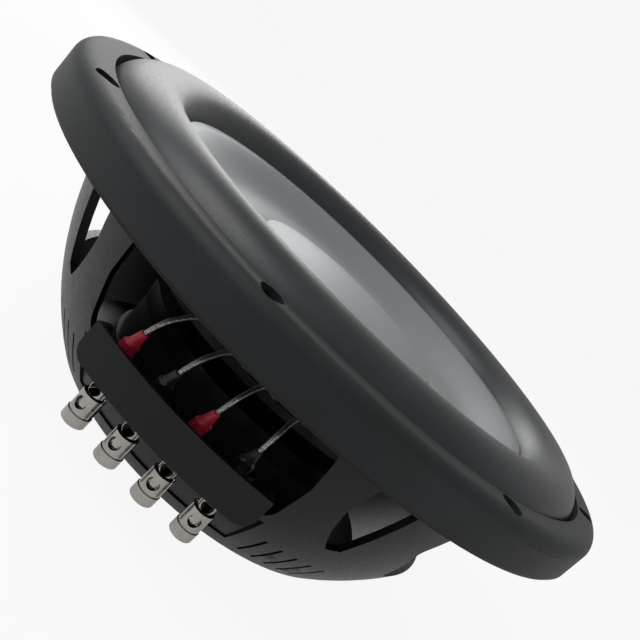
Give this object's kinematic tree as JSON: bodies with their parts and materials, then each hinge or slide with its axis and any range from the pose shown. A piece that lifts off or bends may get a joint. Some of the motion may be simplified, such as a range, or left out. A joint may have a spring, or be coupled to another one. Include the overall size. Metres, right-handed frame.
{
  "type": "car subwoofer speaker",
  "caption": "Shallow twelve inch car subwoofer with cast basket, rubber surround, silver cone and push terminals.",
  "frame": {"origin": "on the speaker's axis, on the plane that its flat back rests on", "axes": "+Z along the axis towards the cone; the terminals face -Y"},
  "size_m": [0.31, 0.31, 0.1135],
  "materials": {
    "cast_basket": "cast aluminium, satin black powder coat",
    "moulded_trim": "moulded rubber, fine matt texture",
    "surround_rubber": "moulded butyl rubber, smooth matt",
    "silver_cone": "injection moulded polypropylene, silver satin lacquer",
    "coil_former": "rolled aluminium foil",
    "copper_wire": "enamelled copper wire",
    "tinned_brass": "tin plated brass, stamped",
    "spider_cloth": "resin dipped woven cloth",
    "black_nylon": "moulded glass filled nylon",
    "black_plated_steel": "turned steel, black zinc plate",
    "ferrite": "ground sintered ferrite",
    "bare_aluminium": "turned",
    "black_screw": "black oxide steel",
    "nickel_plate": "turned brass, bright nickel plate",
    "spring_steel": "drawn wire",
    "red_vinyl": "dip moulded vinyl",
    "black_vinyl": "dip moulded vinyl",
    "silver_braid": "tinned copper tinsel braid"
  },
  "bodies": {
    "frame": {"basket": "cast_basket", "trim_ring": "moulded_trim", "surround": "surround_rubber", "spider": "spider_cloth", "spider_ring": "black_nylon", "yoke": "black_plated_steel", "magnet": "ferrite", "shorting_ring": "bare_aluminium", "top_plate": "black_plated_steel", "vent_mesh": "black_plated_steel", "motor_screws": "black_screw", "spider_ring_screws": "black_screw", "terminal_panel": "black_nylon", "terminal_panel_screws": "black_screw", "terminal_bush_1": "black_nylon", "terminal_post_1": "nickel_plate", "push_spring_1": "spring_steel", "terminal_tab_1": "tinned_brass", "connector_sleeve_1": "red_vinyl", "tinsel_lead_1": "silver_braid", "terminal_bush_2": "black_nylon", "terminal_post_2": "nickel_plate", "push_spring_2": "spring_steel", "terminal_tab_2": "tinned_brass", "connector_sleeve_2": "black_vinyl", "tinsel_lead_2": "silver_braid", "terminal_bush_3": "black_nylon", "terminal_post_3": "nickel_plate", "push_spring_3": "spring_steel", "terminal_tab_3": "tinned_brass", "connector_sleeve_3": "red_vinyl", "tinsel_lead_3": "silver_braid", "terminal_bush_4": "black_nylon", "terminal_post_4": "nickel_plate", "push_spring_4": "spring_steel", "terminal_tab_4": "tinned_brass", "connector_sleeve_4": "black_vinyl", "tinsel_lead_4": "silver_braid", "terminal_nuts": "nickel_plate", "stop_pins": "nickel_plate"},
    "cone_assembly": {"cone": "silver_cone", "dust_cap": "silver_cone", "voice_coil_former": "coil_former", "voice_coil_first_winding": "copper_wire", "voice_coil_second_winding": "copper_wire", "lead_eyelets": "tinned_brass"},
    "push_cap_1": {"push_cap_1": "nickel_plate"},
    "push_cap_2": {"push_cap_2": "nickel_plate"},
    "push_cap_3": {"push_cap_3": "nickel_plate"},
    "push_cap_4": {"push_cap_4": "nickel_plate"}
  },
  "joints": [
    {"name": "cone_travel", "type": "slide", "parent": "frame", "child": "cone_assembly", "axis": [0, 0, 1], "range_m": [-0.011, 0.011], "stiffness_N_per_m": 6500, "deforming": ["surround", "spider", "tinsel_lead_1", "tinsel_lead_2", "tinsel_lead_3", "tinsel_lead_4"]},
    {"name": "push_cap_1_press", "type": "slide", "parent": "frame", "child": "push_cap_1", "axis": [0, 0, 1], "range_m": [0, 0.0067], "stiffness_N_per_m": 900, "springref_m": -0.002, "deforming": ["push_spring_1"]},
    {"name": "push_cap_2_press", "type": "slide", "parent": "frame", "child": "push_cap_2", "axis": [0, 0, 1], "range_m": [0, 0.0067], "stiffness_N_per_m": 900, "springref_m": -0.002, "deforming": ["push_spring_2"]},
    {"name": "push_cap_3_press", "type": "slide", "parent": "frame", "child": "push_cap_3", "axis": [0, 0, 1], "range_m": [0, 0.0067], "stiffness_N_per_m": 900, "springref_m": -0.002, "deforming": ["push_spring_3"]},
    {"name": "push_cap_4_press", "type": "slide", "parent": "frame", "child": "push_cap_4", "axis": [0, 0, 1], "range_m": [0, 0.0067], "stiffness_N_per_m": 900, "springref_m": -0.002, "deforming": ["push_spring_4"]}
  ]
}
